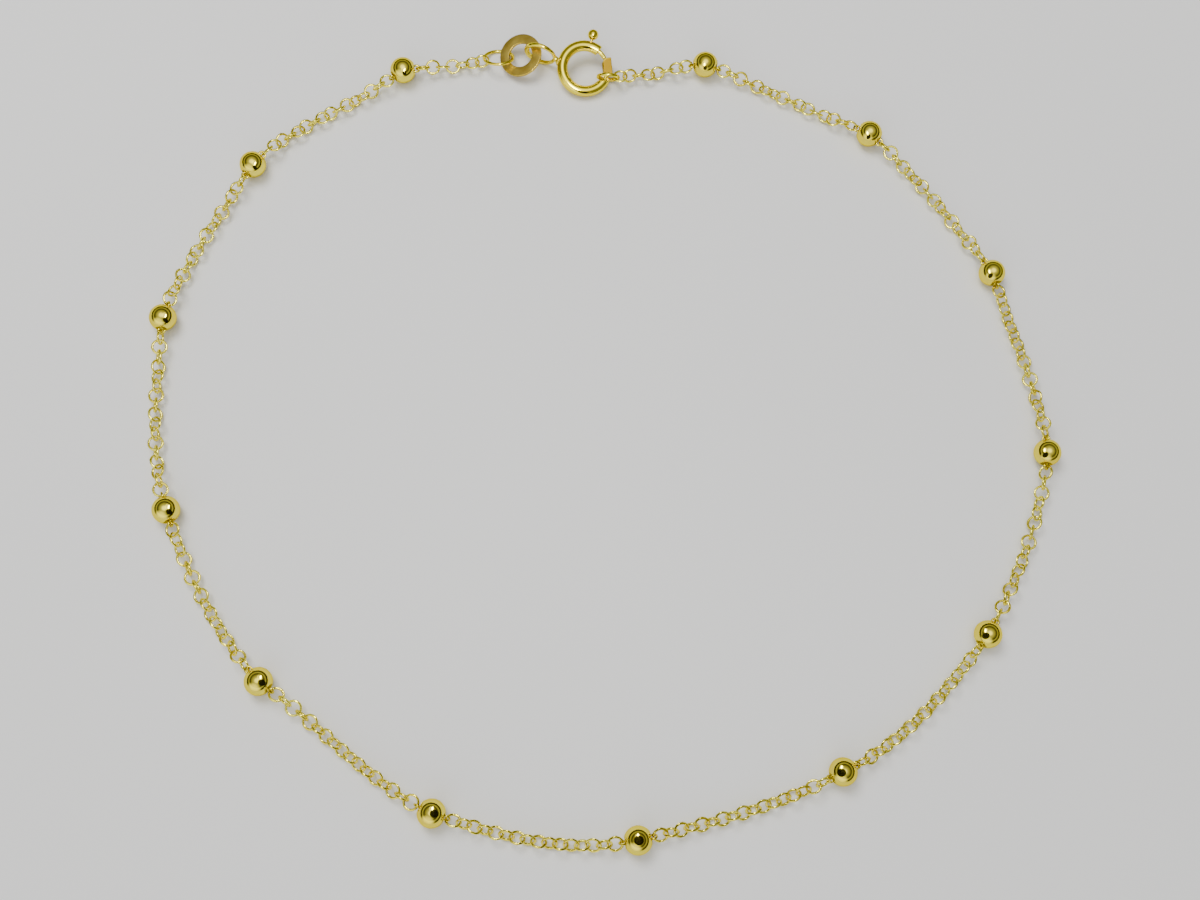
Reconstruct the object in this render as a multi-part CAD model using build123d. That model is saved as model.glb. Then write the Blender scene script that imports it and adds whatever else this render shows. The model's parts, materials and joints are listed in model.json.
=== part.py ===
from build123d import *
import os
from collections import namedtuple
from math import cos, degrees, pi, radians, sin

# A gold anklet lying flat: a fine round-link chain with thirteen plain balls on it, closed by
# a spring ring clasp. One end carries a jump ring and a flat ring, held by the clasp's own eye.
# The other end's chain is carried by a catch ring on the neck of the clasp.
#
# Frame: +Z up, the floor at z = 0, X across, +Y towards the clasp. The origin is under the
# middle of the loop's box. Lengths are millimetres and angles degrees.

# ---- chain ----
link_wire = 0.2  # wire diameter
link_radius = 0.655  # from the link's centre to the middle of its wire
lying_height = 0.77  # centre of a link that lies on the floor
fall_run = 3.5  # length over which the chain comes down from what holds it
slope_step = 0.05  # half of the length over which the chain's slope is taken

# ---- balls ----
ball_diameter = 2.5
ball_height = ball_diameter / 2
socket_diameter = 1.0  # mouth drilled into each end of a ball
socket_floor = 1.0  # distance of the socket's floor from the ball's centre
eye_radius = 0.31  # ring soldered into each socket, to the middle of its wire
end_gap = 1.97  # from a ball's centre to the centre of the link in its eye

# ---- jump ring and flat ring at the left end ----
end_ring_wire = 0.3
end_ring_radius = 1.43
end_ring_centre = (-14.86, 35.41, 0.93)
end_ring_heading = 10.7  # direction of the chain through it
end_ring_roll = 32.5  # far side down, near side up
end_ring_air = 0.16  # between it and the last link, along the chain
end_ring_gap = end_ring_radius + link_radius - (end_ring_wire + link_wire) / 2 - end_ring_air

flat_ring_diameter = 4.3
flat_ring_hole = 2.45
flat_ring_thickness = 0.3
flat_ring_edge = 0.05  # rounding of its edges
flat_ring_centre = (-12.67, 35.75, 1.36)
flat_ring_tilt = (11.5, -18, 0)  # far side up, then right side up

# ---- spring ring clasp ----
ring_radius = 2.25  # to the middle of the tube
tube_diameter = 1.05
bore_diameter = 0.58
ring_centre = (-6.2, 35.3, 1.3)
ring_tilt = (16, 8, 0)  # far side up, then left side up
tube_end = 59  # angle of the open end, from X towards Y
bore_end = 200  # the bore is blind here
collar_angle = 14  # angle of the collar's middle
collar_size = (0.84, 1.62, 0.95)  # across the ring's wire, along it, and through the ring
collar_corner = 0.3  # slope on the collar's upper inner corner
collar_edge = 0.06  # rounding of the collar's edges
neck_diameter = 0.44  # thin stretch that the catch ring hangs on
neck_length = 0.66
neck_root = 20  # angle that the neck's rod runs into the tube
neck_sink = 10  # angle that it runs into the collar

eye_wire = 0.42
clasp_eye_radius = 1.44
clasp_eye_centre = (-10.73, 36.04, 1.68)
clasp_eye_heading = -10  # direction of its upright plane
foot_diameter = 0.8  # foot that joins the eye to the tube, at the middle of the tube
foot_tip_diameter = 0.3

# ---- spring bolt ----
bolt_diameter = 0.42
bolt_tip = 33.5  # angle of the bolt's tip when the clasp is shut
bolt_tail = 128  # angle of the end inside the tube
knob_angle = 84
knob_diameter = 1.05
knob_reach = 3.47  # from the ring's centre to the knob's centre
stem_diameter = 0.2
bolt_travel = 30  # turn that opens the clasp
slot_width = 0.34
slot_margin = 5  # extra angle at each end of the slot
notch_margin = 4  # extra angle that the bolt's seat in the collar runs past its tip

# ---- catch ring ----
catch_wire = 0.36
catch_radius = 1.0
catch_centre = (-3.78, 34.76, 1.19)
catch_heading = 5  # direction that its plane runs in
catch_lean = 16.5  # how far the top of its plane leans to the near side
catch_air = 0.17  # between it and the first link, along the chain
catch_gap = catch_radius + link_radius - (catch_wire + link_wire) / 2 - catch_air

# One row for each ball and the stretch of chain from it to the next, anticlockwise from the
# clasp. Right is as one looks along the stretch, which is outwards.
#   x, y      the ball's place
#   links     links in the stretch
#   lead      how far right the curve's handle stands at a third of the stretch
#   trail     the same at two thirds
#   lean      turn of the first link about the chain: 0 lies flat, 90 stands on edge
#   twist     turn of each link past a quarter turn from the link before it
#   wind      extra turn of both ends against the middle
Stretch = namedtuple("Stretch", "x y links lead trail lean twist wind")
STRETCHES = [
    Stretch(-23.9, 32.4, 16, -0.4, 1.7, 145, 26, 35),
    Stretch(-36.4, 20.1, 16, 0.4, 1.2, 100, -22, 0),
    Stretch(-41.5, 3.4, 17, 0.8, 1.7, 75, 18, 10),
    Stretch(-37.3, -14.6, 16, 1.1, 1.3, 140, -9, 20),
    Stretch(-26.2, -28.5, 17, -0.3, 1.2, 160, -2, 45),
    Stretch(-9.6, -37.5, 16, 1.1, 1.9, 20, 2, 15),
    Stretch(8.1, -37.4, 17, 0.5, 1.1, 165, -2, -20),
    Stretch(25.0, -29.4, 17, 1.9, 1.2, 40, 0, 30),
    Stretch(36.9, -15.7, 16, 1.2, 1.5, 70, 14, 35),
    Stretch(41.5, 2.0, 17, 1.4, 0.3, 70, -9, 60),
    Stretch(35.4, 19.3, 17, 0.9, 1.1, 10, 22, -55),
    Stretch(22.5, 32.4, 16, 0.1, 0.5, 20, -23, 65),
]
LAST_BALL = (5.6, 37.6)
LEFT_END = Stretch(*STRETCHES[0][:2], 7, 0.1, 0.3, 31, 12, 18)  # from the first ball to the jump ring
RIGHT_END = Stretch(*catch_centre[:2], 8, 0.3, -0.2, 6, 30, 0)  # from the catch ring to the last ball
left_stretches = 6  # stretches in the left half of the chain


def upright(heading, centre):
    """Plane that stands upright along a heading, with its X along that heading."""
    along = Vector(cos(radians(heading)), sin(radians(heading)), 0)
    return Plane(origin=centre, x_dir=along, z_dir=along.cross(Vector(0, 0, 1)))


def catch_plane():
    """Plane of the catch ring, which leans a little off upright."""
    return upright(catch_heading, catch_centre) * Rot(catch_lean, 0, 0)


def route(row, end):
    """Level curve from a row's place to an end, with both handles pulled to the right."""
    start, stop = Vector(row.x, row.y), Vector(*end)
    along = stop - start
    right = Vector(along.Y, -along.X).normalized()
    first = start + along / 3 + right * row.lead
    second = start + along * 2 / 3 + right * row.trail
    return Bezier(start, first, second, stop)


def fall(distance):
    """Share of its first height that the chain still has at a distance from its holder."""
    part = min(max(distance / fall_run, 0), 1)
    return (1 + cos(pi * part)) / 2


def drape(distance, length, first, last):
    """Height of the chain's middle at a distance along a stretch held at two heights."""
    down = (first - lying_height) * fall(distance)
    up = (last - lying_height) * fall(length - distance)
    return lying_height + down + up


def link_planes(row, line, gaps, heights):
    """Plane of each link of a stretch: X along the chain, Z square to the link."""
    run = line.length - sum(gaps)
    pitch = run / (row.links - 1)
    planes = []
    for number in range(row.links):
        distance = pitch * number
        share = (gaps[0] + distance) / line.length
        level = line % share
        ahead = drape(distance + slope_step, run, *heights)
        behind = drape(distance - slope_step, run, *heights)
        heading = Vector(level.X, level.Y, (ahead - behind) / slope_step / 2).normalized()
        right = Vector(level.Y, -level.X, 0).normalized()
        middle = 2 * number / (row.links - 1) - 1
        turn = radians(row.lean + (90 + row.twist) * number + row.wind * middle**2)
        across = right * cos(turn) + right.cross(heading) * sin(turn)
        centre = line @ share + Vector(0, 0, drape(distance, run, *heights))
        planes.append(Plane(origin=centre, x_dir=heading, z_dir=heading.cross(across)))
    return planes


def ring(radius, wire):
    """Closed round wire in the XY plane."""
    return Torus(radius, wire / 2)


def rod(diameter, length):
    """Round bar that starts at the origin and runs up Z."""
    return Cylinder(diameter / 2, length, align=(Align.CENTER, Align.CENTER, Align.MIN))


def bent_rod(diameter, first, last):
    """Round bar bent to the clasp's ring, from one angle to another."""
    section = Plane.XZ * Pos(ring_radius, 0) * Circle(diameter / 2)
    return Rot(0, 0, first) * revolve(section, Axis.Z, last - first)


def ball(centre, ends):
    """Ball with a socket and a soldered eye towards each end link, ahead (1) or behind (-1)."""
    along = ends[1][0].origin - ends[0][0].origin
    seam_aside = Plane(origin=centre, x_dir=(along.Y, -along.X, 0))
    body = seam_aside * Sphere(ball_diameter / 2)
    eyes = []
    for link, side in ends:
        near_wire = link.origin - link.x_dir * side * link_radius
        facing = (near_wire - centre).normalized()
        socket = Plane(origin=centre + facing * socket_floor, z_dir=facing)
        body -= socket * rod(socket_diameter, ball_height)
        eyes.append(Plane(origin=near_wire, z_dir=link.y_dir) * ring(eye_radius, link_wire))
    for eye in eyes:
        body += eye
    return body


def flat_ring():
    """Washer-like ring stamped from sheet, its edges just broken."""
    body = Cylinder(flat_ring_diameter / 2, flat_ring_thickness)
    body -= Cylinder(flat_ring_hole / 2, flat_ring_thickness)
    body = fillet(body.edges().filter_by(GeomType.CIRCLE), flat_ring_edge)
    return Location(flat_ring_centre, flat_ring_tilt) * body


def collar():
    """Block on the end of the clasp's ring that the bolt shuts into."""
    block = Box(*collar_size)
    upper_corners = block.edges().filter_by(Axis.Z).sort_by(Axis.Y)[-2:]
    block = chamfer(upper_corners.sort_by(Axis.X)[0], collar_corner)
    block = fillet(block.edges(), collar_edge)
    return Rot(0, 0, collar_angle) * Pos(ring_radius, 0, 0) * block


def eye_and_foot(placed):
    """Upright eye of the clasp, with the foot that joins it to the tube."""
    frame = upright(clasp_eye_heading, clasp_eye_centre)
    eye_end = frame.from_local_coords(Vector(clasp_eye_radius, 0, 0))
    reach = (placed * Pos(-ring_radius, 0, 0)).position - eye_end
    foot = Cone(
        foot_tip_diameter / 2, foot_diameter / 2, reach.length, align=(Align.CENTER, Align.CENTER, Align.MIN)
    )
    return Plane(origin=eye_end, z_dir=reach) * foot + frame * ring(clasp_eye_radius, eye_wire)


def spring_ring():
    """Clasp body: bored and slotted tube, collar, neck, foot and eye, soldered into one."""
    placed = Location(ring_centre, ring_tilt)
    collar_end = collar_angle - degrees(collar_size[1] / 2 / ring_radius)
    tube = bent_rod(tube_diameter, tube_end, 360 + collar_end)
    body = placed * (tube + collar()) + eye_and_foot(placed)
    body -= placed * bent_rod(bore_diameter, bolt_tip - notch_margin, bore_end)

    slot_first = knob_angle - slot_margin
    slot_last = knob_angle + bolt_travel + slot_margin
    slot = Plane.XZ * Pos(ring_radius + tube_diameter / 2, 0) * Rectangle(tube_diameter, slot_width)
    body -= placed * Rot(0, 0, slot_first) * revolve(slot, Axis.Z, slot_last - slot_first)

    body -= catch_plane() * Box(2 * ring_radius, 2 * ring_radius, neck_length)
    body += placed * bent_rod(neck_diameter, collar_end - neck_root, collar_end + neck_sink)
    return body


def spring_bolt():
    """Sliding bolt with its stem and knob, one piece."""
    bar = bent_rod(bolt_diameter, bolt_tip, bolt_tail)
    stem = Pos(ring_radius, 0, 0) * Rot(0, 90, 0) * rod(stem_diameter, knob_reach - ring_radius)
    knob = Pos(knob_reach, 0, 0) * Sphere(knob_diameter / 2)
    return Location(ring_centre, ring_tilt) * (bar + Rot(0, 0, knob_angle) * (stem + knob))


def save(name, shape):
    """Write one piece to its file."""
    shape.label = name
    export_step(shape, "parts/" + name + ".step")


os.makedirs("parts", exist_ok=True)

centres = [(row.x, row.y) for row in STRETCHES] + [LAST_BALL]
lines = [route(row, end) for row, end in zip(STRETCHES, centres[1:])]
stretches = [
    link_planes(row, line, (end_gap, end_gap), (ball_height, ball_height))
    for row, line in zip(STRETCHES, lines)
]
left_end = link_planes(
    LEFT_END,
    route(LEFT_END, end_ring_centre[:2]),
    (end_gap, end_ring_gap),
    (ball_height, end_ring_centre[2]),
)
right_end = link_planes(
    RIGHT_END,
    route(RIGHT_END, LAST_BALL),
    (catch_gap, end_gap),
    (catch_centre[2], ball_height),
)

halves = {
    "chain_left": [left_end] + stretches[:left_stretches],
    "chain_right": stretches[left_stretches:] + [right_end],
}
for name, half in halves.items():
    links = [plane * ring(link_radius, link_wire) for planes in half for plane in planes]
    save(name, Compound(children=links))

behind = [(left_end[0], 1)] + [(planes[-1], -1) for planes in stretches]
ahead = [(planes[0], 1) for planes in stretches] + [(right_end[-1], -1)]
for number, (x, y) in enumerate(centres):
    save("ball_%02d" % (number + 1), ball(Vector(x, y, ball_height), (behind[number], ahead[number])))

rolled = upright(end_ring_heading, end_ring_centre) * Rot(90 - end_ring_roll, 0, 0)
save("end_ring", rolled * ring(end_ring_radius, end_ring_wire))
save("flat_ring", flat_ring())
save("spring_ring", spring_ring())
save("spring_bolt", spring_bolt())
save("catch_ring", catch_plane() * ring(catch_radius, catch_wire))

print("chain from the first ball to the last", round(sum(line.length for line in lines), 1), "mm")
print("bolt axis", Plane(Location(ring_centre, ring_tilt)).z_dir)
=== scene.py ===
import json
import logging
from dataclasses import dataclass, field
from enum import Enum
from typing import ClassVar

import bmesh
import bpy
import numpy as np
from mathutils import Matrix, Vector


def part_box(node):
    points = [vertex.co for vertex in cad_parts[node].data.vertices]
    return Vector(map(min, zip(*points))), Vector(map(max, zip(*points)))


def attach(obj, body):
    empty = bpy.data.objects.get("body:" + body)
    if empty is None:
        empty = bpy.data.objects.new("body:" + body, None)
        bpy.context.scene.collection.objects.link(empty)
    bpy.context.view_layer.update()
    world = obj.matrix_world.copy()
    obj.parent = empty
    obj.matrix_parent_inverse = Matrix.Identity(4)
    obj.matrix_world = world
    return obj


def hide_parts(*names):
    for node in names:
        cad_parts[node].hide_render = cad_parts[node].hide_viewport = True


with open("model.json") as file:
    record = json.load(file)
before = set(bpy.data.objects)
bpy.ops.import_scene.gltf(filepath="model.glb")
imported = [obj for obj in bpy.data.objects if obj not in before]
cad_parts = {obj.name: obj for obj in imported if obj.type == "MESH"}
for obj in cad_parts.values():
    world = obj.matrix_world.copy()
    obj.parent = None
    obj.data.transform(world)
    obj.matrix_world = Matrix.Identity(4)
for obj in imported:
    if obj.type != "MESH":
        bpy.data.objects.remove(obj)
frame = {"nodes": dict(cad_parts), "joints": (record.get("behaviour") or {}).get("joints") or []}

# A gold chain anklet lying on a pale table: thirteen polished balls on a chain of fine round
# links, closed by a spring ring clasp. Sizes are millimetres and angles degrees until a mesh is
# written, which is in metres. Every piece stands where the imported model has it.

MM = 0.001
BALL_COUNT = 13
MERGE_DISTANCE = 2e-7  # metres; closes poles and seams
SHARP_ANGLE = 38.0  # edges that turn more than this stay crisp
ALL_SMOOTH = 180.0  # an angle that no edge turns by
TOP_SLACK = 1e-3  # how far under a ball's top its highest points are looked for
ALIGNED = 1e-6  # radians within which two directions count as one

Array = np.ndarray
Pair = tuple[float, float]
Triple = tuple[float, float, float]
Sides = tuple[int, int]
Wrap = tuple[bool, bool]
Colour = Triple
Socket = bpy.types.NodeSocket

EAST = np.array([1.0, 0.0, 0.0])
UP = np.array([0.0, 0.0, 1.0])

SHEET, TUBE, LOOP = (False, False), (False, True), (True, True)  # whether rows and columns close

log = logging.getLogger("anklet")


class Body(Enum):
    """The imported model's bodies."""

    ANKLET = "anklet"
    BOLT = "bolt"


class Slot(Enum):
    """The record's material slots."""

    BALL = "ball_gold"
    CHAIN = "chain_gold"
    CLASP = "clasp_gold"
    SATIN = "satin_gold"


# ---- Small vector and mesh tools ----


def unit(vector: Array) -> Array:
    """Scale a vector, or each row of vectors, to length one."""
    vector = np.asarray(vector, float)
    return vector / np.linalg.norm(vector, axis=-1, keepdims=True)


def polar(angle: Array | float) -> tuple[Array, Array]:
    """Cosine and sine of an angle in degrees."""
    radians = np.radians(angle)
    return np.cos(radians), np.sin(radians)


def spread(first: float, last: float, count: int) -> Array:
    """Evenly spaced values with both ends."""
    return np.linspace(first, last, count)


def circle(count: int) -> Array:
    """Angles once round in degrees, without the last one that would repeat the first."""
    return np.linspace(0, 360, count, endpoint=False)


def smooth_step(value: Array) -> Array:
    """Rise from 0 to 1 with level ends, for values from 0 to 1."""
    value = np.clip(value, 0, 1)
    return value * value * (3 - 2 * value)


def bump(value: Array, centre: float, width: float) -> Array:
    """Bell of height one round a centre, exp(-((value - centre) / width)^2)."""
    return np.exp(-(((value - centre) / width) ** 2))


def flare(distance: Array, height: float, width: float) -> Array:
    """Swelling that dies away with distance, height exp(-distance / width), level below 0."""
    return height * np.exp(-np.clip(distance, 0, None) / width)


def together(*parts: Array) -> Array:
    """Spread arrays to one shape and stack them along a new last dimension."""
    return np.stack(np.broadcast_arrays(*parts), axis=-1)


def turned(radius: Array, height: Array, count: int) -> Array:
    """Turn a profile about z into rows of points (r cos v, r sin v, height)."""
    across, along = polar(circle(count))
    return together(radius[:, None] * across, radius[:, None] * along, height[:, None])


def arcs(rows: Array, count: int, radius: float) -> Array:
    """Surface millimetres of a grid: lengths down its rows, and arcs round its columns."""
    return together(rows[:, None], np.radians(circle(count)) * radius)


def path_length(points: Array) -> Array:
    """Distance run along a path at each of its points."""
    steps = np.linalg.norm(np.diff(points, axis=0), axis=-1)
    return np.concatenate([[0.0], np.cumsum(steps)])


def filleted_profile(corners: Array, radii: Array, steps: int) -> Array:
    """Path through corners, each rounded by a smooth bend.

    A bend is the quadratic blend (1-t)^2 a + 2t(1-t) corner + t^2 b, where a and b lie on the
    two straight runs at the same distance from the corner.

    Args:
        corners: (n, 2) corners, of which the first and last stay as they are.
        radii: (n,) distances from each corner at which its rounding starts.
        steps: Points on each rounding.

    Returns:
        (points, 2) the rounded path.
    """
    before = unit(corners[:-2] - corners[1:-1])
    after = unit(corners[2:] - corners[1:-1])
    reach = radii[1:-1, None]
    first, last = corners[1:-1] + before * reach, corners[1:-1] + after * reach
    t = spread(0, 1, steps)[None, :, None]
    blend = (1 - t) ** 2 * first[:, None] + 2 * t * (1 - t) * corners[1:-1, None] + t**2 * last[:, None]
    return np.concatenate([corners[:1], blend.reshape(-1, 2), corners[-1:]])


def linked(name: str, data: bpy.types.ID) -> bpy.types.Object:
    """Put a mesh, lamp or camera into the scene.

    Args:
        name: The object's name.
        data: What it shows.

    Returns:
        The object, at the origin.
    """
    item = bpy.data.objects.new(name, data)
    bpy.context.scene.collection.objects.link(item)
    return item


@dataclass(frozen=True)
class Axes:
    """A place and three square directions, in millimetres.

    A local point (a, b, c) lands at origin + a x + b y + c z.
    """

    origin: Array
    x: Array
    y: Array
    z: Array

    def place(self, points: Array) -> Array:
        """Carry local points, in the last dimension, into the row frame."""
        return self.origin + points @ np.stack([self.x, self.y, self.z])

    def local(self, points: Array) -> Array:
        """Carry points of the row frame into local ones."""
        return (points - self.origin) @ np.stack([self.x, self.y, self.z]).T

    @classmethod
    def along(cls, origin: Array, z: Array, x_hint: Array) -> "Axes":
        """Build axes on a z direction, with x as near as it can be to a hint.

        Args:
            origin: The place, in millimetres.
            z: Direction of the local z.
            x_hint: Direction that the local x leans to.

        Returns:
            Right-handed axes.
        """
        z = unit(z)
        x = unit(np.asarray(x_hint, float) - z * np.dot(x_hint, z))
        return cls(np.asarray(origin, float), x, np.cross(z, x), z)

    def carry(self, name: str, data: bpy.types.ID) -> bpy.types.Object:
        """Put a lamp or camera at these axes.

        Args:
            name: The object's name.
            data: Its lamp or camera.

        Returns:
            The object.
        """
        matrix = np.eye(4)
        matrix[:3] = np.stack([self.x, self.y, self.z, self.origin * MM], axis=1)
        item = linked(name, data)
        item.matrix_world = Matrix(matrix.tolist())
        return item


@dataclass
class Skin:
    """Points and four-sided faces of a piece in the making, with named values per point."""

    points: Array  # (n, 3) places in millimetres
    quads: Array  # (m, 4) corner numbers, anticlockwise from outside
    uv: Array  # (n, 2) millimetres along and round the piece, for marks that follow it
    values: dict[str, Array] = field(default_factory=dict)  # named (n,) arrays that the finishes read

    @classmethod
    def grid(cls, points: Array, uv: Array, wrap: Wrap = TUBE, **values: Array | float) -> "Skin":
        """Join a grid of points into quads.

        Args:
            points: (rows, columns, 3) places in millimetres.
            uv: (rows, columns, 2) surface millimetres.
            wrap: Whether the last row meets the first one, and the last column the first one.
            **values: Named arrays that spread to (rows, columns).

        Returns:
            The skin, whose faces look towards the cross product of rows with columns.
        """
        rows, columns = points.shape[:2]
        row, column = (np.arange(size - 1 + closed) for size, closed in zip((rows, columns), wrap))
        near, left = np.meshgrid(row, column, indexing="ij")
        far, right = (near + 1) % rows, (left + 1) % columns
        corners = [near * columns + left, far * columns + left, far * columns + right, near * columns + right]
        quads = np.stack(corners, axis=-1).reshape(-1, 4)
        flat = {name: np.broadcast_to(value, (rows, columns)).ravel() for name, value in values.items()}
        return cls(points.reshape(-1, 3), quads, uv.reshape(-1, 2), flat)

    def flipped(self) -> "Skin":
        """The same skin with its faces turned over."""
        return Skin(self.points, self.quads[:, ::-1], self.uv, self.values)

    @classmethod
    def joined(cls, skins: list["Skin"]) -> "Skin":
        """Put several skins into one, with missing values taken as zero.

        Args:
            skins: The skins, in order.

        Returns:
            One skin that holds them all.
        """
        starts = np.cumsum([0] + [len(skin.points) for skin in skins[:-1]])
        names = sorted({name for skin in skins for name in skin.values})
        values = {
            name: np.concatenate([skin.values.get(name, np.zeros(len(skin.points))) for skin in skins])
            for name in names
        }
        quads = np.concatenate([skin.quads + start for skin, start in zip(skins, starts)])
        points = np.concatenate([skin.points for skin in skins])
        return cls(points, quads, np.concatenate([skin.uv for skin in skins]), values)

    def piece(self, name: str, finish: "GoldFinish", crease: float) -> bpy.types.Object:
        """Write the skin as a smooth mesh object at the origin.

        Args:
            name: The piece's name.
            finish: The finish that its material comes from.
            crease: Edges that turn more than this angle stay crisp.

        Returns:
            The object, linked to the scene.
        """
        mesh = bpy.data.meshes.new(name)
        mesh.vertices.add(len(self.points))
        mesh.vertices.foreach_set("co", (self.points * MM).astype(np.float32).ravel())
        mesh.loops.add(self.quads.size)
        mesh.loops.foreach_set("vertex_index", self.quads.ravel().astype(np.int32))
        mesh.polygons.add(len(self.quads))
        mesh.polygons.foreach_set("loop_start", np.arange(0, self.quads.size, 4, dtype=np.int32))
        mesh.update(calc_edges=True)
        layer = mesh.uv_layers.new(name="Surface")
        layer.data.foreach_set("uv", self.uv[self.quads.ravel()].astype(np.float32).ravel())
        for key, value in self.values.items():
            attribute = mesh.attributes.new(key, "FLOAT", "POINT")
            attribute.data.foreach_set("value", value.astype(np.float32))
        mesh.materials.append(finish.material())
        close_seams(mesh)
        mesh.shade_smooth()
        mesh.set_sharp_from_angle(angle=np.radians(crease))
        return linked(name, mesh)

    def prop(self, name: str, material: bpy.types.Material) -> bpy.types.Object:
        """Write the skin as a plain object of the studio.

        Args:
            name: The object's name.
            material: Its material.

        Returns:
            The object, linked to the scene.
        """
        mesh = bpy.data.meshes.new(name)
        mesh.from_pydata((self.points * MM).tolist(), [], self.quads.tolist())
        mesh.materials.append(material)
        return linked(name, mesh)


def close_seams(mesh: bpy.types.Mesh) -> None:
    """Merge points that fall together, which closes poles, caps and seams.

    Args:
        mesh: The mesh to change in place.
    """
    working = bmesh.new()
    working.from_mesh(mesh)
    bmesh.ops.remove_doubles(working, verts=working.verts, dist=MERGE_DISTANCE)
    bmesh.ops.dissolve_degenerate(working, edges=working.edges, dist=MERGE_DISTANCE)
    working.to_mesh(mesh)
    working.free()


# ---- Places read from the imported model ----


def packed_box(node: str) -> tuple[Array, Array]:
    """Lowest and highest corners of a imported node, in millimetres."""
    low, high = (np.array(corner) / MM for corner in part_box(node))
    return low, high


def loose_parts(node: str) -> list[Array]:
    """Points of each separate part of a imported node.

    Points that fall together are merged, then every triangle's corners take the lowest of their
    labels until no label changes, so each connected part ends with one label.

    Args:
        node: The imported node's name.

    Returns:
        One (n, 3) array for each part, in millimetres.
    """
    mesh = frame["nodes"][node].data
    places = np.empty(len(mesh.vertices) * 3, np.float32)
    mesh.vertices.foreach_get("co", places)
    corners = np.empty(len(mesh.loops), np.int32)
    mesh.loops.foreach_get("vertex_index", corners)
    rounded = np.round(places.reshape(-1, 3) / MM, 4)
    points, merged = np.unique(rounded, axis=0, return_inverse=True)
    triangles = merged.reshape(-1)[corners].reshape(-1, 3)
    labels = np.arange(len(points))
    while True:
        lowest = labels[triangles].min(axis=1)
        fresh = labels.copy()
        np.minimum.at(fresh, triangles.ravel(), np.repeat(lowest, 3))
        fresh = fresh[fresh]
        if np.array_equal(fresh, labels):
            break
        labels = fresh
    return [points[labels == label] for label in np.unique(labels)]


@dataclass(frozen=True)
class RingFit:
    """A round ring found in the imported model."""

    centre: Array  # its middle, in millimetres
    normal: Array  # direction square to it
    inner: float  # radius of its hole
    outer: float  # radius of its rim
    thickness: float  # its extent along the normal

    @property
    def middle(self) -> float:
        """Radius to the middle of the wire or band."""
        return (self.inner + self.outer) / 2

    @property
    def wire(self) -> float:
        """Width of the wire or band."""
        return self.outer - self.inner

    def axes(self, x_hint: Array = EAST) -> Axes:
        """Axes at its middle, with z along its normal."""
        return Axes.along(self.centre, self.normal, x_hint)

    @classmethod
    def of(cls, points: Array) -> "RingFit":
        """Fit a ring to the points of one part.

        The normal is the direction in which the points spread least, and the centre is halfway
        between their furthest points along it and along two directions square to it.

        Args:
            points: (n, 3) points of the ring's surface.

        Returns:
            The fitted ring.
        """
        middle = points.mean(axis=0)
        offset = points - middle
        spokes = np.linalg.eigh(offset.T @ offset)[1].T
        along = offset @ spokes.T
        centre = middle + (along.max(axis=0) + along.min(axis=0)) / 2 @ spokes
        normal = spokes[0] * (1 if spokes[0][2] >= 0 else -1)
        offset = points - centre
        height = offset @ normal
        radius = np.linalg.norm(offset - height[:, None] * normal, axis=1)
        return cls(centre, normal, radius.min(), radius.max(), float(np.ptp(height)))

    @classmethod
    def of_node(cls, node: str) -> "RingFit":
        """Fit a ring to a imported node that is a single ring."""
        return cls.of(loose_parts(node)[0])


# ---- Finishes ----


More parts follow.
